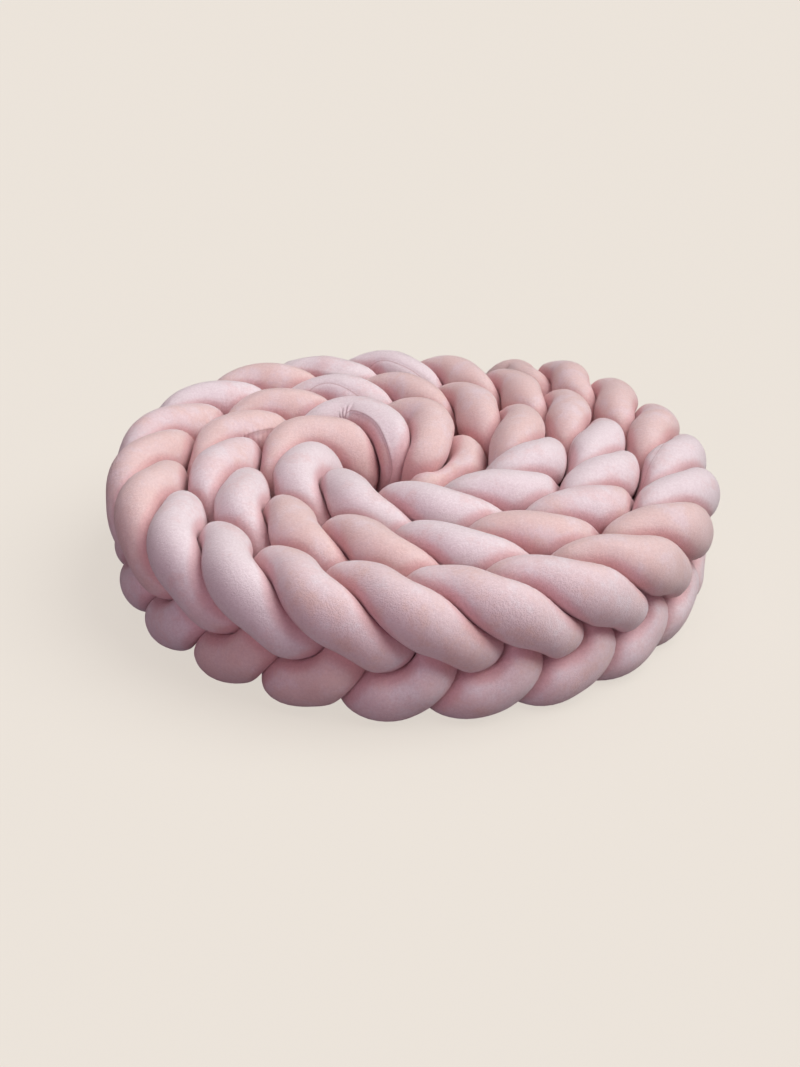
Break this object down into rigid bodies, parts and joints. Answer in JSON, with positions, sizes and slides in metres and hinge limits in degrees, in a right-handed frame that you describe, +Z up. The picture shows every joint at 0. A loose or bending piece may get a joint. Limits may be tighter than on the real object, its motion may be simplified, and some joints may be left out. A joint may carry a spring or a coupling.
{
  "type": "braided crib bumper",
  "caption": "Braided crib bumper: fat stuffed velvet tubes plaited into a flat braid that stands on its edge, coiled into a round spiral.",
  "frame": {"origin": "on the surface the coil lies on, under the middle of its box", "axes": "+Z up, -Y towards the side seen in the picture, +X to its right"},
  "size_m": [0.595, 0.5992, 0.1475],
  "materials": {
    "velvet": "soft short-pile velvet, matt with a pale bloom"
  },
  "bodies": {
    "root": {"strand_1": "velvet", "strand_2": "velvet", "strand_3": "velvet"}
  },
  "joints": []
}
